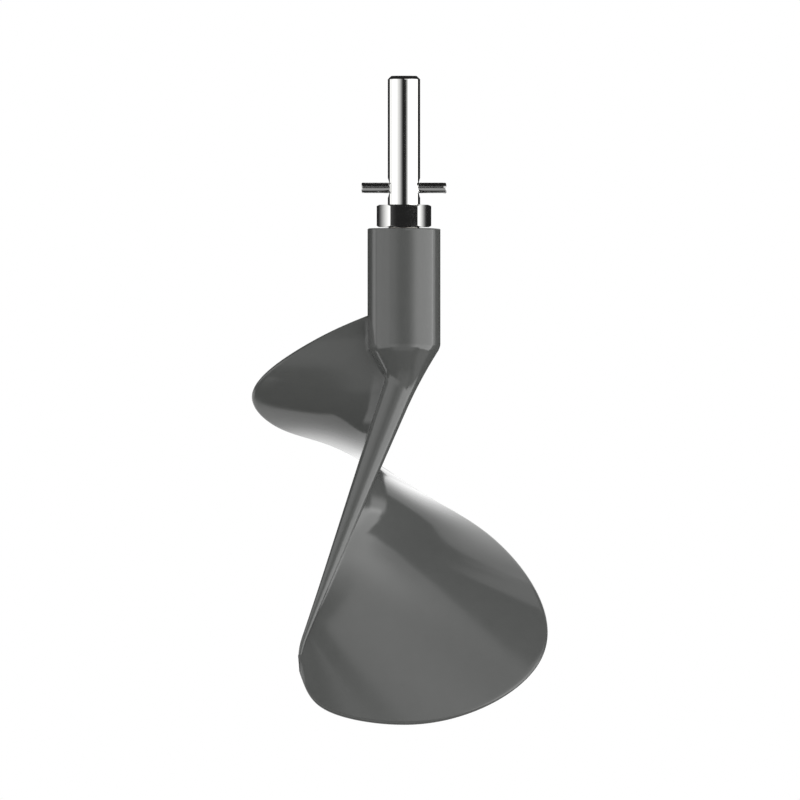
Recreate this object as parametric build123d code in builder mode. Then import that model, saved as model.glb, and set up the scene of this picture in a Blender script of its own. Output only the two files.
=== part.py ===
from build123d import *
from math import radians, sqrt, tan
import os

os.makedirs("parts", exist_ok=True)

# Folding tool for a stand mixer: a steel drive shaft with a cross pin, screwed into
# a plastic blade, a thin sheet that twists half a turn round a slanted spine.
# Millimetres. The origin is where the pin's axis crosses the shaft's axis, +Z runs
# up the shaft, +X to the right and +Y away from someone who faces the blade's front.

# Drive shaft and cross pin
shaft_diameter = 10.0
shaft_top = 34.6
shaft_chamfer = 1.0
pin_diameter = 3.3
pin_length = 26.2
pin_chamfer = 0.4
countersink_diameter = 6.0
pin_to_shoulder = 5.2

# Threaded stub below the shoulder, with its undercut
stub_diameter = 8.0
stub_length = 21.0
stub_chamfer = 1.0
thread_clearance = 0.05
undercut_diameter = 6.6
undercut_width = 1.2

# Lock nut
nut_flats = 15.0
nut_height = 6.9
nut_bevel = 0.9
nut_bevel_angle = 30.0

# Threaded insert, moulded into the hub, with room in its bore to screw the stub deeper
insert_flats = 13.0
insert_room = 1.75
insert_groove_diameter = 11.0
insert_groove_width = 3.0
insert_end_wall = 1.5
neck_diameter = 9.6
neck_height = 0.35
neck_chamfer = 0.15

# Hub and taper of the blade
hub_diameter = 22.5
hub_length = 37.0
hub_rim_chamfer = 0.4
shoulder_radius = 5.0
taper_angle = 33.0
taper_height = 9.5

# Slanted spine, a long cone. Its axis meets the shaft's axis inside the taper.
spine_radius = 5.15
spine_tip_radius = 0.4
spine_side = -31.7
spine_drop = 83.8
spine_meet = 8.2
spine_overlap = 3.0

# Twisted sheet. Its outer edge keeps near a cylinder about the shaft before it turns
# in along the bottom.
edge_radius = 50.0
sheet_height = 127.0
sheet_rise = 11.0
sheet_thickness = 2.2
rim_bevel = 0.65
root_rise = 21.0
root_tail = 3.0
root_inset = 0.1

# Points of the sheet's outer edge. The first value is how far down the root the
# straight line to this point starts. The others are the point itself: across and
# back as shares of the edge radius, down as a share of the sheet's height.
edge_points = [
    (0.000, -0.180, 0.000, 0.000),
    (0.020, -0.400, 0.004, 0.036),
    (0.056, -0.596, 0.007, 0.076),
    (0.139, -0.869, 0.084, 0.152),
    (0.216, -0.942, 0.312, 0.214),
    (0.296, -0.774, 0.622, 0.278),
    (0.400, -0.385, 0.927, 0.330),
    (0.489, 0.074, 0.932, 0.438),
    (0.629, 0.536, 0.851, 0.549),
    (0.707, 0.840, 0.546, 0.696),
    (0.801, 0.854, 0.273, 0.844),
    (0.901, 0.285, 0.020, 0.990),
    (0.931, -0.191, -0.011, 0.999),
    (0.943, -0.506, -0.012, 0.963),
    (0.975, -0.605, 0.000, 0.918),
    (1.000, -0.645, 0.000, 0.874),
]

# Levels along the shaft, from the pin down
shoulder_level = -pin_to_shoulder
nut_foot = shoulder_level - nut_height
hub_top = nut_foot - neck_height
hub_foot = hub_top - hub_length
taper_foot = hub_foot - taper_height
spine_level = hub_foot - spine_meet
stub_foot = shoulder_level - stub_length
insert_foot = stub_foot - insert_room - insert_end_wall
insert_length = hub_top - insert_foot

shaft_radius = shaft_diameter / 2
pin_radius = pin_diameter / 2
stub_radius = stub_diameter / 2 - thread_clearance
thread_radius = stub_diameter / 2
hub_radius = hub_diameter / 2

# Drive shaft, turned from one bar
with BuildPart() as drive_shaft:
    with BuildSketch(Plane.XZ):
        with BuildLine():
            Polyline(
                (0, stub_foot),
                (stub_radius - stub_chamfer, stub_foot),
                (stub_radius, stub_foot + stub_chamfer),
                (stub_radius, shoulder_level - undercut_width),
                (undercut_diameter / 2, shoulder_level - undercut_width),
                (undercut_diameter / 2, shoulder_level),
                (shaft_radius, shoulder_level),
                (shaft_radius, shaft_top - shaft_chamfer),
                (shaft_radius - shaft_chamfer, shaft_top),
                (0, shaft_top),
                close=True,
            )
        make_face()
    revolve(axis=Axis.Z)
    # Cross hole for the pin, countersunk at both mouths
    with Locations(Location((0, 0, 0), (0, 90, 0))):
        Cylinder(pin_radius, shaft_diameter, mode=Mode.SUBTRACT)
    sink_radius = countersink_diameter / 2
    sink_depth = sink_radius - pin_radius
    for side in (-1, 1):
        with Locations(Location((side * (shaft_radius - sink_depth / 2), 0, 0), (0, 90 * side, 0))):
            Cone(pin_radius, sink_radius, sink_depth, mode=Mode.SUBTRACT)
drive_shaft.part.label = "drive_shaft"
export_step(drive_shaft.part, "parts/drive_shaft.step")

# Cross pin, pressed through the shaft with equal ends
with BuildPart() as drive_pin:
    with Locations(Location((0, 0, 0), (0, 90, 0))):
        Cylinder(pin_radius, pin_length)
    chamfer(drive_pin.edges().filter_by(GeomType.CIRCLE), pin_chamfer)
drive_pin.part.label = "drive_pin"
export_step(drive_pin.part, "parts/drive_pin.step")

# Lock nut, a plain hexagon with its corners bevelled at both faces
nut_corner_radius = nut_flats / sqrt(3)
bevel_drop = nut_bevel * tan(radians(nut_bevel_angle))
with BuildPart() as lock_nut:
    with BuildSketch(Plane.XY.offset(nut_foot)):
        RegularPolygon(nut_corner_radius, 6)
    extrude(amount=nut_height)
    with BuildSketch(Plane.XZ, mode=Mode.PRIVATE) as nut_envelope:
        with BuildLine():
            Polyline(
                (0, nut_foot),
                (nut_corner_radius - nut_bevel, nut_foot),
                (nut_corner_radius, nut_foot + bevel_drop),
                (nut_corner_radius, shoulder_level - bevel_drop),
                (nut_corner_radius - nut_bevel, shoulder_level),
                (0, shoulder_level),
                close=True,
            )
        make_face()
    revolve(nut_envelope.sketch, axis=Axis.Z, mode=Mode.INTERSECT)
    with BuildSketch(Plane.XY.offset(nut_foot)):
        Circle(thread_radius)
    extrude(amount=nut_height, mode=Mode.SUBTRACT)
lock_nut.part.label = "lock_nut"
export_step(lock_nut.part, "parts/lock_nut.step")

# Threaded insert: a hexagon body that can't turn in the plastic, a groove round it
# that can't pull out, and a round neck that stands just proud of the hub
with BuildPart() as insert_body:
    with BuildSketch(Plane.XY.offset(insert_foot)):
        RegularPolygon(insert_flats / sqrt(3), 6)
    extrude(amount=insert_length - insert_end_wall)
    with BuildSketch(Plane.XY.offset(insert_foot + (insert_length - insert_groove_width) / 2)):
        Circle(insert_flats)
        Circle(insert_groove_diameter / 2, mode=Mode.SUBTRACT)
    extrude(amount=insert_groove_width, mode=Mode.SUBTRACT)
    with BuildSketch(Plane.XY.offset(hub_top - insert_end_wall)):
        Circle(neck_diameter / 2)
    extrude(amount=insert_end_wall + neck_height)

with BuildPart() as threaded_insert:
    add(insert_body.part)
    chamfer(threaded_insert.edges().filter_by(GeomType.CIRCLE).sort_by(Axis.Z)[-1], neck_chamfer)
    with BuildSketch(Plane.XY.offset(insert_foot + insert_end_wall)):
        Circle(thread_radius)
    extrude(amount=insert_length + neck_height - insert_end_wall, mode=Mode.SUBTRACT)
threaded_insert.part.label = "threaded_insert"
export_step(threaded_insert.part, "parts/threaded_insert.step")

# Blade, moulded in one shot
spine_start = Vector(0, 0, spine_level)
spine_end = Vector(spine_side, 0, spine_level - spine_drop)
spine_way = (spine_end - spine_start).normalized()
sheet_half = sheet_thickness / 2
sheet_top = hub_foot + sheet_rise
root_start = spine_start + spine_way * (root_rise / spine_way.Z)
root_end = spine_end + spine_way * root_tail
root_line = root_end - root_start


def root_point(share):
    """Point of the sheet's root, on the spine's axis carried on up into the hub.

    Below the taper it moves back, so that the spine stands proud of the sheet."""
    on_axis = root_start + root_line * share
    along = max(0, spine_start.Z - on_axis.Z) / (spine_start.Z - root_end.Z)
    return on_axis + Vector(root_inset, sheet_half, 0) * along


def edge_point(across, back, down):
    """Point of the sheet's outer edge, from its shares of the radius and height."""
    return Vector(across * edge_radius, back * edge_radius, sheet_top - down * sheet_height)


roots = [root_point(row[0]) for row in edge_points]
tips = [edge_point(*row[1:]) for row in edge_points]

with BuildPart() as folding_blade:
    # Each section of the sheet runs from the root to the edge, where its rim is
    # bevelled on both sides. Its plane also holds the sheet's normal halfway out.
    for i, (root, tip) in enumerate(zip(roots, tips)):
        before, after = max(i - 1, 0), min(i + 1, len(roots) - 1)
        travel = (roots[after] + tips[after]) - (roots[before] + tips[before])
        reach = tip - root
        normal = travel.cross(reach).normalized()
        with BuildSketch(Plane(origin=(root + tip) / 2, x_dir=reach, z_dir=reach.cross(normal))) as section:
            Rectangle(reach.length, sheet_thickness)
            chamfer(section.vertices().group_by(Axis.X)[-1], rim_bevel)
    loft()
    # Spine
    with BuildSketch(Plane(origin=spine_start - spine_way * spine_overlap, z_dir=spine_way)):
        Circle(spine_radius)
    with BuildSketch(Plane(origin=spine_end, z_dir=spine_way)):
        Circle(spine_tip_radius)
    loft()
    # Hub and taper
    taper_foot_radius = hub_radius - taper_height * tan(radians(taper_angle))
    with BuildSketch(Plane.XZ) as hub_profile:
        with BuildLine():
            Polyline(
                (0, taper_foot),
                (taper_foot_radius, taper_foot),
                (hub_radius, hub_foot),
                (hub_radius, hub_top - hub_rim_chamfer),
                (hub_radius - hub_rim_chamfer, hub_top),
                (0, hub_top),
                close=True,
            )
        make_face()
        shoulder = hub_profile.vertices().group_by(Axis.X)[-1].sort_by(Axis.Y)[0]
        fillet(shoulder, shoulder_radius)
    revolve(axis=Axis.Z)
    # Room for the insert
    add(insert_body.part, mode=Mode.SUBTRACT)
folding_blade.part.label = "folding_blade"
export_step(folding_blade.part, "parts/folding_blade.step")
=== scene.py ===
import bpy
import numpy as np
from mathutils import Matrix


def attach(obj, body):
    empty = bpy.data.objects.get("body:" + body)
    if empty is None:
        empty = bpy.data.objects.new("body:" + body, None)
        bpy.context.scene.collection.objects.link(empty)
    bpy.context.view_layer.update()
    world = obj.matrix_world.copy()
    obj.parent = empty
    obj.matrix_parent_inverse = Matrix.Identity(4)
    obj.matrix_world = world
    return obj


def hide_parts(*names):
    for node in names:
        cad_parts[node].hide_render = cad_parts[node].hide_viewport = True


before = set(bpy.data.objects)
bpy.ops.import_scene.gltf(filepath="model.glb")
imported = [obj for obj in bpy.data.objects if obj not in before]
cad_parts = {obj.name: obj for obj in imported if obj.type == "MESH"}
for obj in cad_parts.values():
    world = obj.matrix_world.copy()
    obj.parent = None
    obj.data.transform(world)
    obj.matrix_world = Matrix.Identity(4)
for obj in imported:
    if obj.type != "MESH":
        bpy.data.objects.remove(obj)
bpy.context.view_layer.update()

# Folding tool for a stand mixer, in metres. The origin is where the pin's axis crosses the
# shaft's axis, +Z runs up the shaft, +X to the right and +Y away from the camera.

# Sizes that set the levels along the shaft, and the levels, from the pin down
pin_to_shoulder = 5.2e-3
nut_height = 6.9e-3
neck_height = 0.35e-3
hub_length = 37.0e-3
stub_length = 21.0e-3
insert_room = 1.75e-3
insert_end_wall = 1.5e-3
shoulder_level = -pin_to_shoulder
nut_foot = shoulder_level - nut_height
hub_top = nut_foot - neck_height
hub_foot = hub_top - hub_length
stub_foot = shoulder_level - stub_length
insert_foot = stub_foot - insert_room - insert_end_wall

# Threads are metric. The wave that shapes them rises this steeply, less a flat, and is cut
# off at crest and root.
thread_radius = 4.0e-3
thread_depth = 0.65e-3
thread_pitch = 1.25e-3
flank_steepness = 2.5
flank_flat = 0.15

# Columns round a turned grid, and the radius of the small face that closes its end
turns = 144
end_radius = 0.05e-3

# Threaded insert: a hexagon bar of plated steel, turned and tapped, that lies in the mould
# before the nylon comes in. Its flats can't turn and its groove can't pull out. Only the
# round neck shows, a thin ring under the lock nut.
insert_flats = 13.0e-3
groove_radius = 5.5e-3
groove_half = 1.5e-3
neck_radius = 4.8e-3
neck_chamfer = 0.15e-3
bore_flare = 0.1e-3
bore_lead = 0.5e-3
bore_rows = 120


def angles(count):
    """Angles of the columns of a turned grid, all the way round."""
    return np.linspace(0, 2 * np.pi, count, endpoint=False)


def hexagon(flats, count, crown=0.0):
    """Radius of a hexagon at each angle: half its flats over the cosine of the angle from the
    middle of the flat. The crown lowers each flat towards its corners, as the square of the way."""
    away = np.mod(angles(count), np.pi / 3) - np.pi / 6
    return (flats / 2 - crown * (np.tan(away) / np.tan(np.pi / 6)) ** 2) / np.cos(away)


def thread(levels, count, crest):
    """Radius of a right-hand thread at each level and angle: the crest's, less a flattened
    triangle wave of the level in pitches, which one turn moves by one pitch."""
    phase = np.mod(levels[:, None] / thread_pitch - angles(count) / (2 * np.pi), 1)
    wave = flank_steepness * np.abs(phase - 0.5) - flank_flat
    return crest - thread_depth * np.clip(wave, 0, 1)


def rows(*parts, count=turns):
    """Stacks rows of a turned grid. Each part is (radius, level), where the radius is one
    number or one for each angle, or else a whole thread with its levels."""
    radius = [np.broadcast_to(part[0], (np.size(part[1]), count)) for part in parts]
    return np.concatenate(radius), np.concatenate([np.atleast_1d(part[1]) for part in parts])


def turned(radius, level, centre=0.0):
    """Points of a grid about the Z axis: the radius of each row and angle, laid off from the
    row's centre on the X axis, at the row's level."""
    angle = angles(radius.shape[1])
    centre = np.broadcast_to(centre, level.shape)[:, None]
    return np.stack([centre + radius * np.cos(angle), radius * np.sin(angle),
                     np.broadcast_to(level[:, None], radius.shape)], axis=-1)


def add_grid(name, points, sharp=35.0):
    """Adds a closed mesh from a grid of points whose columns run all the way round. Each four
    neighbours make a quad, and one face closes each end. Edges past the sharp angle stay crisp."""
    rows_in, columns = points.shape[:2]
    index = np.arange(rows_in * columns).reshape(rows_in, columns)
    right = np.roll(index, -1, axis=1)
    quads = np.stack([index[:-1], right[:-1], right[1:], index[1:]], axis=-1).reshape(-1, 4)
    faces = quads.tolist() + [index[0, ::-1].tolist(), index[-1].tolist()]
    mesh = bpy.data.meshes.new(name)
    mesh.from_pydata(points.reshape(-1, 3).tolist(), [], faces)
    mesh.shade_smooth()
    mesh.set_sharp_from_angle(angle=np.radians(sharp))
    piece = bpy.data.objects.new(name, mesh)
    bpy.context.scene.collection.objects.link(piece)
    return piece


def linear(hex_colour):
    """Linear RGBA of an sRGB hex colour: each channel c becomes ((c + 0.055) / 1.055) to the
    power 2.4, and a very dark one is divided by 12.92."""
    channels = [int(hex_colour[i:i + 2], 16) / 255 for i in (1, 3, 5)]
    return [c / 12.92 if c < 0.04045 else ((c + 0.055) / 1.055) ** 2.4 for c in channels] + [1.0]


def add_node(tree, kind, links=(), **values):
    """Adds one shader node. A value goes to the socket of its name, or else to the node's own
    setting, and each link is (socket of another node, name or number of this node's input)."""
    node = tree.nodes.new(kind)
    for name, value in values.items():
        socket = next((s for s in node.inputs if s.name.replace(" ", "_").lower() == name), None)
        if socket:
            socket.default_value = value
        else:
            setattr(node, name, value)
    for source, target in links:
        tree.links.new(source, node.inputs[target])
    return node


def new_material(name):
    """An empty material's node tree, with the object's own coordinates in metres."""
    made = bpy.data.materials.new(name)
    made.use_nodes = True
    made.node_tree.nodes.clear()
    return made, made.node_tree, add_node(made.node_tree, "ShaderNodeTexCoord").outputs["Object"]


hexagon_bar = hexagon(insert_flats, turns)
groove_level = insert_foot + (hub_top - insert_foot) / 2
body_top = hub_top - insert_end_wall
# The outside of the body from its foot up to the neck, which the hub's cavity repeats
body_rows = [
    (end_radius, insert_foot),
    (hexagon_bar, insert_foot),
    (hexagon_bar, groove_level - groove_half),
    (groove_radius, groove_level - groove_half),
    (groove_radius, groove_level + groove_half),
    (hexagon_bar, groove_level + groove_half),
    (hexagon_bar, body_top),
    (neck_radius, body_top),
]
neck_top = hub_top + neck_height
bore_foot = insert_foot + insert_end_wall
bore_levels = np.linspace(neck_top - bore_lead, bore_foot, bore_rows)
insert = add_grid("insert", turned(*rows(
    *body_rows,
    (neck_radius, neck_top - neck_chamfer),
    (neck_radius - neck_chamfer, neck_top),
    (thread_radius + bore_flare, neck_top),
    (thread(bore_levels, turns, thread_radius), bore_levels),
    (end_radius, bore_foot),
)))
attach(insert, "root")
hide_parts("threaded_insert")

# Plated steel as turned: the tool leaves fine rings, which blur what the ring reflects
turned_steel, tree, place = new_material("turned_plated_steel")
ring_spacing = 0.12e-3
stretch = add_node(tree, "ShaderNodeMapping", [(place, "Vector")], scale=(0.05, 0.05, 1))
rings = add_node(tree, "ShaderNodeTexNoise", [(stretch.outputs[0], "Vector")],
                 scale=1 / ring_spacing, detail=1)
bump = add_node(tree, "ShaderNodeBump", [(rings.outputs[0], "Height")], strength=0.5, distance=4e-6)
rough = add_node(tree, "ShaderNodeMapRange", [(rings.outputs[0], "Value")], to_min=0.28, to_max=0.42)
shader = add_node(tree, "ShaderNodeBsdfPrincipled",
                  [(bump.outputs[0], "Normal"), (rough.outputs[0], "Roughness")],
                  base_color=linear("#b4b1ab"), metallic=1.0)
add_node(tree, "ShaderNodeOutputMaterial", [(shader.outputs[0], "Surface")])
insert.data.materials.append(turned_steel)

# Folding blade: one moulding in dark grey glass-filled nylon, shot round the insert in a
# polished mould. A round hub tapers into a slanted spine, and a thin sheet turns half a turn
# round that spine and lifts the mix. Small radii fill the corners between sheet and core.
hub_radius = 11.25e-3
hub_rim = 0.4e-3
shoulder_radius = 5.0e-3
taper_angle = np.radians(33.0)
spine_radius = 5.15e-3
spine_tip_radius = 0.4e-3
spine_side = -31.7e-3
spine_drop = 83.8e-3
spine_meet = 8.2e-3
spine_blend = 2.0e-3
spine_close = 3.0e-3
spine_close_share = 0.9
spine_overlap = 2.0e-3
spine_tip_side = -32.2e-3
edge_radius = 50.0e-3
sheet_height = 127.0e-3
sheet_rise = 11.0e-3
sheet_half = 1.1e-3
root_rise = 21.0e-3
root_tail = 3.0e-3
root_inset = 0.1e-3
root_fillet = 0.45e-3
fillet_share = 0.6
fillet_least_spine = 0.5e-3

spine_start = np.array([0, 0, hub_foot - spine_meet])
spine_end = spine_start + [spine_side, 0, -spine_drop]
spine_length = np.linalg.norm(spine_end - spine_start)
spine_way = (spine_end - spine_start) / spine_length
spine_slope = (spine_tip_radius - spine_radius) / spine_length
root_start = spine_start + spine_way * (root_rise / spine_way[2])
root_end = spine_end + spine_way * root_tail

# Stations of the sheet: how far down the root a straight line to its edge starts, then
# the point of the edge, across and back in edge radii and down in sheet heights. A program
# fitted these numbers to the photograph's outline and to the borders of its light and dark
# bands. They weren't chosen by hand.
stations = np.array([
    (0.000, -0.180, 0.000, 0.000),
    (0.020, -0.400, 0.004, 0.036),
    (0.056, -0.596, 0.007, 0.076),
    (0.139, -0.869, 0.084, 0.152),
    (0.216, -0.942, 0.312, 0.214),
    (0.296, -0.774, 0.622, 0.278),
    (0.400, -0.385, 0.927, 0.330),
    (0.489, 0.074, 0.932, 0.438),
    (0.629, 0.536, 0.851, 0.549),
    (0.707, 0.840, 0.546, 0.696),
    (0.801, 0.854, 0.273, 0.844),
    (0.901, 0.285, 0.020, 0.990),
    (0.931, -0.191, -0.011, 0.999),
    (0.943, -0.506, -0.012, 0.963),
    (0.975, -0.605, 0.000, 0.918),
    (1.000, -0.645, 0.000, 0.874),
])


def unit(vectors):
    """Vectors divided by their lengths."""
    return vectors / np.linalg.norm(vectors, axis=-1, keepdims=True)


def spline(knots, values, at):
    """Natural cubic spline through values at knots, at the parameters in at. Its second
    derivatives come from one linear system, with none at either end."""
    step = np.diff(knots)
    slope = np.diff(values, axis=0) / step[:, None]
    system = np.eye(len(knots))
    inner = np.arange(1, len(knots) - 1)
    system[inner, inner - 1] = step[:-1]
    system[inner, inner] = 2 * (step[:-1] + step[1:])
    system[inner, inner + 1] = step[1:]
    right = np.zeros_like(values)
    right[1:-1] = 6 * np.diff(slope, axis=0)
    bend = np.linalg.solve(system, right)
    k = np.clip(np.searchsorted(knots, at) - 1, 0, len(step) - 1)
    h = step[k][:, None]
    t = (at - knots[k])[:, None] / h
    s = 1 - t
    curve = (s ** 3 - s) * bend[k] + (t ** 3 - t) * bend[k + 1]
    return s * values[k] + t * values[k + 1] + h ** 2 / 6 * curve


def hub_radius_at(level):
    """Radius of the hub and its taper at each level: the wall's, then an arc tangent to wall
    and taper, then the taper's straight line on down to a point inside the spine."""
    tangent = shoulder_radius * np.tan(taper_angle / 2)
    rise = np.clip(hub_foot + tangent - level, 0, tangent * (1 + np.cos(taper_angle)))
    shoulder = hub_radius - shoulder_radius + np.sqrt(shoulder_radius ** 2 - rise ** 2)
    taper = hub_radius - (hub_foot - level) * np.tan(taper_angle)
    return np.maximum(np.where(level > hub_foot - tangent * np.cos(taper_angle), shoulder, taper), 0)


def spine_radius_at(level):
    """Radius of the spine's cone where its axis passes each level, closed like a ball's end."""
    along = (spine_start[2] - level) / -spine_way[2]
    left = np.clip((spine_length + spine_close - along) / (3 * spine_close), 0, 1)
    return (spine_radius + spine_slope * along) * np.sqrt(1 - (1 - left) ** 4)


def rounded_max(a, b, blend):
    """The larger of two lengths. Where they differ by less than the blend, a quarter of it times
    the squared share that is left rounds the corner."""
    near = np.maximum(1 - np.abs(a - b) / blend, 0)
    return np.maximum(a, b) + near ** 2 * blend / 4


def core_rows(level):
    """Section of hub, taper and spine at each level, as radii about a centre.

    Towards an angle the slanted cone reaches its radius over the root of one less the squared
    lean, less slope times lean. The larger of that and the hub's circle counts. At its foot the
    spine turns upright, so that its side runs on into the sheet's."""
    axis = (level - spine_start[2]) / spine_way[2] * spine_way[0]
    axis = rounded_max(axis, spine_tip_side, spine_close / 2)
    centre = np.minimum(axis, 0)[:, None]
    angle = angles(turns)
    lean = np.cos(angle) * spine_way[0]
    cone = spine_radius_at(level)[:, None] / (np.sqrt(1 - lean ** 2) - spine_slope * lean)
    cone = np.where(level[:, None] < hub_foot, cone + (axis[:, None] - centre) * np.cos(angle), 0)
    circle = hub_radius_at(level)[:, None]
    reach = circle ** 2 - (centre * np.sin(angle)) ** 2
    circle = np.where(reach > 0, np.sqrt(np.maximum(reach, 0)) - centre * np.cos(angle), 0)
    return rounded_max(circle, cone, spine_blend), centre[:, 0]


# Levels of the core's rows, closer together at the spine's tip and along the taper
spine_foot = spine_end[2] - spine_close * spine_close_share
tip_top = spine_foot + 6.0e-3
taper_rows_foot = hub_foot - 16.55e-3
taper_rows_top = hub_foot + 1.6e-3
wall_rows_foot = hub_foot + 3.0e-3
wall_rows_top = hub_top - 1.0e-3
core_levels = np.concatenate([
    np.linspace(spine_foot, tip_top, 24, endpoint=False),
    np.linspace(tip_top, taper_rows_foot, 60, endpoint=False),
    np.linspace(taper_rows_foot, taper_rows_top, 70),
    np.linspace(wall_rows_foot, wall_rows_top, 14),
])
core_radius, core_centre = core_rows(core_levels)
rim_turn = np.radians(np.linspace(0, 90, 9))
neck_ring = 0.3e-3
top_radius, top_level = rows(
    *[(hub_radius - hub_rim + hub_rim * np.cos(a), hub_top - hub_rim + hub_rim * np.sin(a))
      for a in rim_turn],
    (hub_radius - 3 * hub_rim, hub_top),
    (neck_radius + neck_ring, hub_top),
    (neck_radius, hub_top),
    *body_rows[::-1],
)
core = add_grid("core", turned(
    np.concatenate([core_radius, top_radius]),
    np.concatenate([core_levels, top_level]),
    np.concatenate([core_centre, 0 * top_level]),
))

share = stations[:, :1]
on_axis = root_start + (root_end - root_start) * share
along = np.maximum(0, spine_start[2] - on_axis[:, 2:]) / (spine_start[2] - root_end[2])
station_roots = on_axis + np.array([root_inset, sheet_half, 0]) * along
station_tips = np.stack([stations[:, 1] * edge_radius, stations[:, 2] * edge_radius,
                         hub_foot + sheet_rise - stations[:, 3] * sheet_height], axis=-1)
travel = np.gradient(station_roots + station_tips, axis=0)
station_normals = unit(np.cross(travel, station_tips - station_roots))
moves = [np.linalg.norm(np.diff(points, axis=0), axis=1) for points in (station_roots, station_tips)]
knots = np.concatenate([[0], np.cumsum(moves[0] + moves[1])])


def core_distance(points):
    """Distance of points outside the hub, the taper and the spine: the smaller of how far each
    lies outside the slanted cone and outside the turned hub."""
    from_start = points - spine_start
    down = from_start @ spine_way
    beside = np.linalg.norm(from_start - down[..., None] * spine_way, axis=-1)
    cone = beside - (spine_radius + spine_slope * down)
    level = points[..., 2]
    hub = np.hypot(points[..., 0], points[..., 1]) - hub_radius_at(level)
    hub = hub * np.where(level < hub_foot, np.cos(taper_angle), 1)
    return np.where(down < -spine_overlap, hub, np.minimum(cone, hub))


# The spline swings a little past its stations, and the rim stays this much short of it, so
# that the sheet keeps inside the box of the plain solid
rim_trim = 0.15e-3
# Columns of each face crowd towards the root by this power, where the fillet is
root_crowding = 1.5
# The last row's thickness, as a share of the full one
last_share = 0.03
end_rows = 12


def sheet_grid(row_count=300, face_columns=92, rim_columns=13):
    """The sheet as a grid: along the stations, and round its section.

    At each row a straight line runs from the root to the edge, both read off their splines.
    The section stands half a thickness to either side of it, with a half circle at both ends,
    and over the last of the stations it thins as a circle does. Near the hub and the spine
    each face lifts by a fillet: its radius less the root of its square less the squared way in."""
    last = 2 * sheet_half
    end_turn = np.linspace(0, np.pi / 2, end_rows)
    at = np.concatenate([np.linspace(0, knots[-1] - last, row_count, endpoint=False),
                         knots[-1] - last + last * np.sin(end_turn)])
    thinning = np.concatenate([np.ones(row_count), np.maximum(np.cos(end_turn), last_share)])
    half = sheet_half * thinning[:, None, None]
    root, tip = (spline(knots, points, at)[:, None] for points in (station_roots, station_tips))
    normal = unit(spline(knots, station_normals, at))[:, None]
    reach = tip - root
    length = np.linalg.norm(reach, axis=-1, keepdims=True)
    share = np.linspace(0, 1, face_columns)[:, None] ** root_crowding
    turn = np.linspace(-np.pi / 2, np.pi / 2, rim_columns)[1:-1, None]
    flat = length - half - rim_trim
    rim = flat + half * np.cos(turn)
    face = half + (flat - half) * share
    out = np.concatenate([face, rim, face[:, ::-1], half - half * np.cos(turn)], axis=1)
    side = np.concatenate([0 * share - 1, np.sin(turn), 0 * share + 1, -np.sin(turn)])
    points = root + reach / length * out + normal * side * half
    down = (root - spine_start) @ spine_way
    spine_there = spine_radius + spine_slope * down
    fillet = np.clip(fillet_share * (spine_there - fillet_least_spine), 0, root_fillet)
    way_in = np.clip(fillet - core_distance(points), 0, fillet)
    lift = fillet - np.sqrt(fillet ** 2 - way_in ** 2)
    on_face = np.abs(side[:, 0]) > 0.99
    return points + normal * side * np.where(on_face, lift, 0)[..., None]


blade = add_grid("blade", sheet_grid(), sharp=60.0)
bpy.context.view_layer.update()
for piece in (blade, core):
    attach(piece, "root")
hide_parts("folding_blade")

# Glass-filled nylon from a polished mould: glossy and nearly black, greyed by the fibres that
# lie just under the skin. They give it a faint mottle and an even fainter ripple.
nylon, tree, place = new_material("glass_filled_nylon")
mottle_size = 5e-3
ripple_size = 0.7e-3
mottle = add_node(tree, "ShaderNodeTexNoise", [(place, "Vector")],
                  scale=1 / mottle_size, detail=4, roughness=0.6)
tint = add_node(tree, "ShaderNodeValToRGB", [(mottle.outputs[0], "Fac")])
tint.color_ramp.elements[0].color = linear("#4b4c4b")
tint.color_ramp.elements[1].color = linear("#4f504f")
ripple = add_node(tree, "ShaderNodeTexNoise", [(place, "Vector")], scale=1 / ripple_size, detail=2)
rough = add_node(tree, "ShaderNodeMapRange", [(mottle.outputs[0], "Value")], to_min=0.10, to_max=0.14)
bump = add_node(tree, "ShaderNodeBump", [(ripple.outputs[0], "Height")], strength=0.3, distance=0.4e-6)
shader = add_node(tree, "ShaderNodeBsdfPrincipled",
                  [(tint.outputs[0], "Base Color"), (rough.outputs[0], "Roughness"),
                   (bump.outputs[0], "Normal")],
                  ior=1.5)
add_node(tree, "ShaderNodeOutputMaterial", [(shader.outputs[0], "Surface")])
for piece in (blade, core):
    piece.data.materials.append(nylon)

# Drive shaft: a 10 mm steel bar, ground and polished, with a chamfered top, a cross hole
# countersunk at both mouths and a threaded stub below its shoulder. The stub screws through
# the lock nut into the insert.
shaft_radius = 5.0e-3
shaft_top = 34.6e-3
shaft_chamfer = 1.0e-3
edge_break = 0.12e-3
stub_radius = 3.95e-3
stub_chamfer = 1.0e-3
undercut_radius = 3.3e-3
undercut_width = 1.2e-3
pin_radius = 1.65e-3
sink_radius = 3.0e-3
thread_runout = 0.3e-3
hole_rows_reach = 1.1
sink_reach = 1.2
shaft_turns = 192

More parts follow.
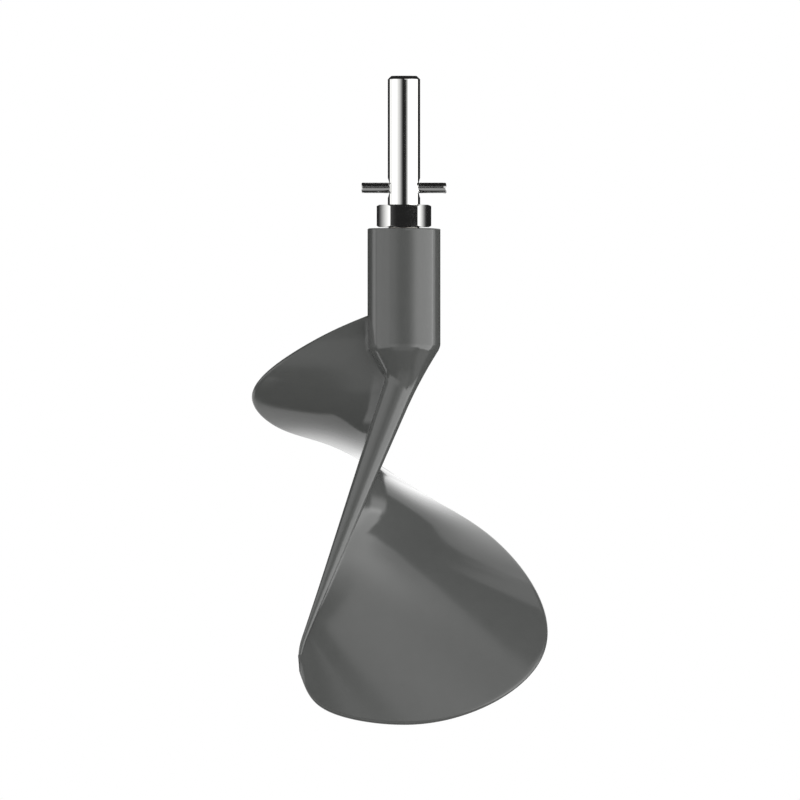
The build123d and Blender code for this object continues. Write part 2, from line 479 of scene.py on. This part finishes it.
thread_top = shoulder_level - undercut_width - thread_runout
stub_levels = np.linspace(stub_foot + stub_chamfer, thread_top, 130)
break_turn = np.radians(np.linspace(0, 45, 5))
break_rise = edge_break / np.tan(np.radians(67.5))
hole_levels = np.linspace(-hole_rows_reach * sink_radius, hole_rows_reach * sink_radius, 64)
shaft_points = turned(*rows(
    (end_radius, stub_foot),
    (stub_radius - stub_chamfer, stub_foot),
    (thread(stub_levels, shaft_turns, stub_radius), stub_levels),
    (undercut_radius, shoulder_level - undercut_width),
    (undercut_radius, shoulder_level),
    (shaft_radius - edge_break, shoulder_level),
    (shaft_radius, shoulder_level + edge_break),
    (shaft_radius, hole_levels),
    (shaft_radius, np.linspace(2 * sink_radius, shaft_top - shaft_chamfer - 2 * edge_break, 12)),
    *[(shaft_radius - edge_break + edge_break * np.cos(a),
       shaft_top - shaft_chamfer - break_rise + edge_break * np.sin(a)) for a in break_turn],
    (shaft_radius - shaft_chamfer + edge_break / 2, shaft_top - edge_break / 2),
    (shaft_radius - shaft_chamfer - edge_break / 2, shaft_top),
    (shaft_radius - 2 * shaft_chamfer, shaft_top),
    (end_radius, shaft_top),
    count=shaft_turns,
))
# Each countersink is a 45 degree cone about the pin's axis: a point of the wall nearer to that
# axis than the sink's radius moves in by the difference
from_pin = np.clip(np.hypot(shaft_points[..., 1], shaft_points[..., 2]), pin_radius, sink_radius)
deepest = np.where(from_pin < sink_radius, shaft_radius - (sink_radius - from_pin), shaft_radius)
near_pin = np.abs(shaft_points[..., 2]) < sink_reach * sink_radius
sunk = np.clip(shaft_points[..., 0], -deepest, deepest)
shaft_points[..., 0] = np.where(near_pin, sunk, shaft_points[..., 0])
shaft = add_grid("shaft", shaft_points, sharp=32.0)
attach(shaft, "root")
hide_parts("drive_shaft")

# Ground and polished bar: a mirror with the last of the grinding left in it, faint rings
# round the bar that smear a reflection up and down
polished, tree, place = new_material("polished_steel_bar")
grinding_spacing = 0.25e-3
smear_size = 6e-3
stretch = add_node(tree, "ShaderNodeMapping", [(place, "Vector")], scale=(0.04, 0.04, 1))
grinding = add_node(tree, "ShaderNodeTexNoise", [(stretch.outputs[0], "Vector")],
                    scale=1 / grinding_spacing, detail=2)
bump = add_node(tree, "ShaderNodeBump", [(grinding.outputs[0], "Height")], strength=0.3, distance=1e-6)
smear = add_node(tree, "ShaderNodeTexNoise", [(place, "Vector")], scale=1 / smear_size, detail=3)
rough = add_node(tree, "ShaderNodeMapRange", [(smear.outputs[0], "Value")], to_min=0.05, to_max=0.08)
shader = add_node(tree, "ShaderNodeBsdfPrincipled",
                  [(rough.outputs[0], "Roughness"), (bump.outputs[0], "Normal")],
                  base_color=linear("#e6e6e4"), metallic=1.0)
add_node(tree, "ShaderNodeOutputMaterial", [(shader.outputs[0], "Surface")])
shaft.data.materials.append(polished)

# Cross pin: a hardened steel dowel with chamfered ends, pressed through the shaft until both
# ends stand out alike. The mixer's socket turns the tool by it.
pin_half = 13.1e-3
pin_chamfer = 0.16e-3
pin_break = 0.04e-3
pin_plain_inset = 1.0e-3
pin_turns = 96
pin_profile, pin_along = rows(
    (end_radius, -pin_half),
    (pin_radius - pin_chamfer - pin_break / 2, -pin_half),
    (pin_radius - pin_chamfer + pin_break / 2, -pin_half + pin_break / 2),
    (pin_radius - pin_break / 2, -pin_half + pin_chamfer - pin_break / 2),
    (pin_radius, -pin_half + pin_chamfer + pin_break),
    (pin_radius, np.linspace(-pin_half + pin_plain_inset, pin_half - pin_plain_inset, 14)),
    (pin_radius, pin_half - pin_chamfer - pin_break),
    (pin_radius - pin_break / 2, pin_half - pin_chamfer + pin_break / 2),
    (pin_radius - pin_chamfer + pin_break / 2, pin_half - pin_break / 2),
    (pin_radius - pin_chamfer - pin_break / 2, pin_half),
    (end_radius, pin_half),
    count=pin_turns,
)
# Turned about Z and then laid along X, by passing each coordinate on to the next axis
pin = add_grid("pin", np.roll(turned(pin_profile, pin_along), 1, axis=-1), sharp=32.0)
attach(pin, "root")
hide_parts("drive_pin")

# Hardened dowel: centreless ground, so a shade darker than the bar, with its rings round it
hardened, tree, place = new_material("hardened_ground_steel")
stretch = add_node(tree, "ShaderNodeMapping", [(place, "Vector")], scale=(1, 0.05, 0.05))
grinding = add_node(tree, "ShaderNodeTexNoise", [(stretch.outputs[0], "Vector")],
                    scale=1 / grinding_spacing, detail=2)
bump = add_node(tree, "ShaderNodeBump", [(grinding.outputs[0], "Height")], strength=0.3, distance=1.2e-6)
rough = add_node(tree, "ShaderNodeMapRange", [(grinding.outputs[0], "Value")], to_min=0.12, to_max=0.18)
shader = add_node(tree, "ShaderNodeBsdfPrincipled",
                  [(rough.outputs[0], "Roughness"), (bump.outputs[0], "Normal")],
                  base_color=linear("#d2d2d1"), metallic=1.0)
add_node(tree, "ShaderNodeOutputMaterial", [(shader.outputs[0], "Surface")])
pin.data.materials.append(hardened)

# Lock nut: a cold-formed steel hexagon, bevelled at both faces, bright plated. It is spun down
# the stub against the insert's neck and fixes the blade's height.
nut_flats = 15.0e-3
nut_bevel = 0.9e-3
nut_slope = np.tan(np.radians(30.0))
nut_crown = 0.20e-3
corner_break = 0.04e-3
mouth = 0.45e-3
mouth_flare = 0.2e-3
mouth_depth_share = 0.6
face_ring = 1.2e-3
bevel_rows_reach = 1.6
nut_turns = 288

nut_corner = nut_flats / np.sqrt(3)
nut_hexagon = np.minimum(hexagon(nut_flats, nut_turns, nut_crown), nut_corner - corner_break)
bevel_levels = nut_foot + np.linspace(0, bevel_rows_reach * nut_bevel * nut_slope, 14)
levels = np.concatenate([bevel_levels, (nut_foot + shoulder_level - bevel_levels)[::-1]])
depth = np.minimum(levels - nut_foot, shoulder_level - levels)
bevel = nut_corner - nut_bevel + depth / nut_slope
nut_wall = np.minimum(nut_hexagon, bevel[:, None])
tap_levels = np.linspace(shoulder_level - mouth, nut_foot + mouth, 56)
# The grid starts and ends at one level in the bore, so two faces back to back close the bore
# there, round the stub
nut = add_grid("nut", turned(*rows(
    (thread_radius - mouth_depth_share * thread_depth, nut_foot + mouth),
    (thread_radius + mouth_flare, nut_foot),
    (nut_corner - nut_bevel - face_ring, nut_foot),
    (nut_wall, levels),
    (nut_corner - nut_bevel - face_ring, shoulder_level),
    (thread_radius + mouth_flare, shoulder_level),
    (thread(tap_levels, nut_turns, thread_radius), tap_levels),
    count=nut_turns,
)), sharp=24.0)
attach(nut, "root")
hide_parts("lock_nut")

# Bright plating over a cold-formed blank: a mirror with a slight orange peel
plated, tree, place = new_material("bright_plated_steel")
peel_size = 0.8e-3
peel = add_node(tree, "ShaderNodeTexNoise", [(place, "Vector")], scale=1 / peel_size, detail=2)
bump = add_node(tree, "ShaderNodeBump", [(peel.outputs[0], "Height")], strength=0.4, distance=3e-6)
rough = add_node(tree, "ShaderNodeMapRange", [(peel.outputs[0], "Value")], to_min=0.05, to_max=0.09)
shader = add_node(tree, "ShaderNodeBsdfPrincipled",
                  [(rough.outputs[0], "Roughness"), (bump.outputs[0], "Normal")],
                  base_color=linear("#dddddb"), metallic=1.0)
add_node(tree, "ShaderNodeOutputMaterial", [(shader.outputs[0], "Surface")])
nut.data.materials.append(plated)

# Camera. The photograph looks level at the blade's front through a long lens, so that the
# shaft's two contours stay parallel. The picture's centre falls beside the shaft and below it.
picture_pixels = 800
pixel = 0.3088e-3
shaft_column = 403.97
pin_row = 187.97
camera_distance = 6.0
sensor_width = 0.036

centre_x = (picture_pixels / 2 - shaft_column) * pixel
centre_z = (pin_row - picture_pixels / 2) * pixel
camera_data = bpy.data.cameras.new("camera")
camera_data.sensor_width = sensor_width * 1000
camera_data.lens = 1000 * sensor_width * camera_distance / (picture_pixels * pixel)
camera_data.clip_start = 0.1
camera_data.clip_end = 50
camera = bpy.data.objects.new("camera", camera_data)
camera.location = (centre_x, -camera_distance, centre_z)
camera.rotation_euler = (np.pi / 2, 0, 0)
bpy.context.scene.collection.objects.link(camera)
bpy.context.scene.camera = camera

# Studio lamps: one upright softbox to the right of the tool and a weaker one to the left. They
# light the surfaces but aren't reflected in them: reflections see the tent further down.
# Angles are degrees from the camera's side, and count up towards +X.
lamp_distance = 1.2
lamp_foot = -24
lamp_top = 43
right_radiance = 2.0
left_radiance = 1.1


def softbox(name, start, end, foot, top, radiance):
    """Upright rectangular lamp that fills the angles from start to end and from the elevation
    foot to the elevation top, as seen from the middle of the tool."""
    towards = np.radians((start + end) / 2)
    low, high = np.tan(np.radians([foot, top])) * lamp_distance
    data = bpy.data.lights.new(name, "AREA")
    data.shape = "RECTANGLE"
    data.size = 2 * lamp_distance * np.tan(np.radians((end - start) / 2))
    data.size_y = high - low
    data.energy = radiance * np.pi * data.size * data.size_y
    lamp = bpy.data.objects.new(name, data)
    lamp.location = (np.sin(towards) * lamp_distance, -np.cos(towards) * lamp_distance,
                     centre_z + (low + high) / 2)
    lamp.rotation_euler = (np.pi / 2, 0, towards)
    lamp.visible_camera = False
    lamp.visible_glossy = False
    bpy.context.scene.collection.objects.link(lamp)


softbox("softbox_right", start=12, end=100, foot=lamp_foot, top=lamp_top, radiance=right_radiance)
softbox("softbox_left", start=-104, end=-20, foot=lamp_foot, top=lamp_top, radiance=left_radiance)

# Studio tent: a closed globe round the tool that only its reflections see, so large that every
# piece sees it alike. It stands in for the lamps and the backdrop there, with bright panels to
# the right and left, rim lights behind and a grey panel low in front. The rest is nearly black.
# Levels count in whites. They and the angles were set, until the greys of metal and
# plastic came near those in the photograph, and they suit the photograph's view best.
tent_radius = 30.0
tent_step = 1.5
tent_black = 0.02
key_inner, key_outer = 1.5, 2.5
key_foot_gain, key_top_loss = 0.25, 0.6
key_end, key_end_narrowing, key_end_blur = 105, 26, 2
inner_level = 1.1
fill_inner, fill_gain = 0.95, 0.4
side_level = 1.5
low_level = 0.42
ground_level = 0.5
rim_right_start, rim_right_gain = 0.7, 1.3
rim_left_start, rim_left_gain = 1.0, 0.3
above_level = 0.75
middle_level = 1.4


def ramp(value, start, end):
    """Smooth step from 0 at start to 1 at end: three squares of the way less two of its cubes."""
    way = np.clip((value - start) / (end - start), 0, 1)
    return way * way * (3 - 2 * way)


def window(value, start, full, fade, end):
    """Smooth step up from start to full, and down again from fade to end."""
    return ramp(value, start, full) * (1 - ramp(value, fade, end))


# Degrees round the tool from the camera's side, towards +X, and degrees above its middle
across, up = np.meshgrid(np.arange(-180, 180, tent_step), np.arange(-90, 90 + tent_step, tent_step))
aside = np.abs(across)
steep = np.abs(up)
# How high the right and left panels stand. The right one reaches lower beyond 50 degrees.
lower = 8 * ramp(across, 50, 60)
height = (1 - ramp(up, 39.5, 42.5)) * ramp(up + lower, -29, -25)
# Key: the right panel, brighter at its foot and weaker at its top, and narrower above the level
key_end_there = key_end - key_end_narrowing * ramp(up, 4, 9)
key = key_inner + (key_outer - key_inner) * ramp(across, 24, 50)
key = key * window(across, 10, 40, key_end_there - key_end_blur, key_end_there + key_end_blur)
key = key * (1 - key_top_loss * ramp(up, 12, 40))
key = key * (1 + key_foot_gain - key_foot_gain * ramp(up, -14, -4))
# Inner: its edge next to the camera, above the level
inner = inner_level * window(across, 3, 5, 12, 36) * ramp(up, 2.8, 4.4)
# Fill: the left panel
fill = fill_inner * ramp(-across, 5, 42) + fill_gain * ramp(-across, 44, 50)
fill = fill * (1 - ramp(-across, 92, 106))
# Sides: a low strip beyond the end of each panel
sides = side_level * ramp(aside, 99, 104) * (1 - ramp(across, 110, 122)) * (1 - ramp(-across, 108, 128))
sides = sides * (1 - ramp(steep, 7, 9))
# Low: the grey panel in front of the tool and below it. Ground: one below it to the right.
low = low_level * (1 - ramp(aside, 35, 50)) * window(-up, 1.5, 8, 42, 72)
ground = ground_level * ramp(across, 60, 80) * ramp(-up, 34, 42)
# Rims: panels behind the tool, high at the right and low at the left, with a dark seam between
seam = (aside > 174) & (up > 30) | (aside > 177) & (up < -48)
behind_right = (across > 126) & (up > 9) & (up < 54) & ~seam
behind_left = (across < -122) & (up > -62) & (up < -9) & ~seam
rim_right = (rim_right_start + rim_right_gain * ramp(across, 127, 160)) * behind_right
rim_left = (rim_left_start + rim_left_gain * ramp(up, -50, -16)) * behind_left
# Above: a strip over the right rim. Middle: two strips right behind the tool.
above = (across > 97) & (up >= 54) & (up < 68) | (across > 119) & (up >= 52) & (up < 54)
middle = (aside > 165) & (steep > 2.5) & (steep <= 9)
glow = (tent_black + height * (key + inner + fill) + sides + low + ground
        + rim_right + rim_left + above_level * above + middle_level * middle)


def reflected(name, points, glow, closed):
    """Sheet of cloth over a grid of points, which only reflections see. The glow of each point
    is the radiance of its emission. Where the sheet is closed, each row meets its own start."""
    index = np.arange(glow.size).reshape(glow.shape)
    if closed:
        index = np.concatenate([index, index[:, :1]], axis=1)
    left, right = index[:, :-1], index[:, 1:]
    quads = np.stack([left[:-1], right[:-1], right[1:], left[1:]], axis=-1)
    mesh = bpy.data.meshes.new(name)
    mesh.from_pydata(points.reshape(-1, 3).tolist(), [], quads.reshape(-1, 4).tolist())
    mesh.attributes.new("glow", "FLOAT", "POINT").data.foreach_set("value", glow.ravel())
    mesh.materials.append(cloth)
    sheet = bpy.data.objects.new(name, mesh)
    bpy.context.scene.collection.objects.link(sheet)
    sheet.visible_camera = False
    sheet.visible_diffuse = False
    sheet.visible_shadow = False


cloth, tree, place = new_material("tent_cloth")
level = add_node(tree, "ShaderNodeAttribute", attribute_name="glow")
shade = add_node(tree, "ShaderNodeEmission", [(level.outputs["Fac"], "Strength")], color=(1, 1, 1, 1))
add_node(tree, "ShaderNodeOutputMaterial", [(shade.outputs[0], "Surface")])
away, rise = np.radians(across), np.radians(up)
way_out = np.stack([np.cos(rise) * np.sin(away), -np.cos(rise) * np.cos(away), np.sin(rise)], axis=-1)
reflected("tent", tent_radius * way_out + [0, 0, centre_z], glow, closed=True)

# Flag: a strip of black cloth bent round behind the shaft's end, which keeps its chamfer dark
flag_radius = 0.1
flag_foot = 0.05
flag_top = 0.3
flag_start, flag_end, flag_step = 80, 180, 5
flag_angles = np.radians(np.arange(flag_start, flag_end + 1, flag_step))
bend, raised = np.meshgrid(flag_angles, np.array([flag_foot, flag_top]))
flag_points = np.stack([flag_radius * np.sin(bend), -flag_radius * np.cos(bend), raised], axis=-1)
reflected("flag", flag_points, np.full(bend.shape, tent_black), closed=False)

# Floor: pale matt board well below the tool, which hangs free as on a cut-out picture. The
# camera sees a share of plain white in it, and reflections see the tent in its place.
floor_level = -0.47
floor_radius = 8.0
floor_corners = 96
floor_white_share = 0.72
floor_angle = angles(floor_corners)
floor_points = np.stack([floor_radius * np.cos(floor_angle), floor_radius * np.sin(floor_angle),
                         np.full(floor_corners, floor_level)], axis=-1)
floor_mesh = bpy.data.meshes.new("floor")
floor_mesh.from_pydata(floor_points.tolist(), [], [list(range(floor_corners))])
floor = bpy.data.objects.new("floor", floor_mesh)
bpy.context.scene.collection.objects.link(floor)
floor.visible_glossy = False
board, tree, place = new_material("pale_board")
path = add_node(tree, "ShaderNodeLightPath")
matt = add_node(tree, "ShaderNodeBsdfPrincipled", base_color=linear("#ededeb"), roughness=0.9)
white = add_node(tree, "ShaderNodeEmission", color=(1, 1, 1, 1), strength=1.0)
part = add_node(tree, "ShaderNodeMath", [(path.outputs["Is Camera Ray"], 0)], operation="MULTIPLY")
part.inputs[1].default_value = floor_white_share
mixed = add_node(tree, "ShaderNodeMixShader",
                 [(part.outputs[0], 0), (matt.outputs[0], 1), (white.outputs[0], 2)])
add_node(tree, "ShaderNodeOutputMaterial", [(mixed.outputs[0], "Surface")])
floor_mesh.materials.append(board)

# World: plain grey light from all round. The camera sees a white backdrop. Mirrors and glass
# would see it too, but the tent stands before it.
world_grey = 0.45
world = bpy.data.worlds.new("studio")
world.use_nodes = True
tree = world.node_tree
tree.nodes.clear()
path = add_node(tree, "ShaderNodeLightPath")
seen = add_node(tree, "ShaderNodeMath",
                [(path.outputs["Is Camera Ray"], 0), (path.outputs["Is Glossy Ray"], 1)],
                operation="ADD", use_clamp=True)
seen = add_node(tree, "ShaderNodeMath",
                [(seen.outputs[0], 0), (path.outputs["Is Transmission Ray"], 1)],
                operation="ADD", use_clamp=True)
plain = add_node(tree, "ShaderNodeBackground", color=(world_grey, world_grey, world_grey, 1), strength=1.0)
white = add_node(tree, "ShaderNodeBackground", color=(1, 1, 1, 1), strength=1.0)
mixed = add_node(tree, "ShaderNodeMixShader",
                 [(seen.outputs[0], 0), (plain.outputs[0], 1), (white.outputs[0], 2)])
add_node(tree, "ShaderNodeOutputWorld", [(mixed.outputs[0], "Surface")])
bpy.context.scene.world = world
bpy.context.scene.view_settings.view_transform = "Standard"
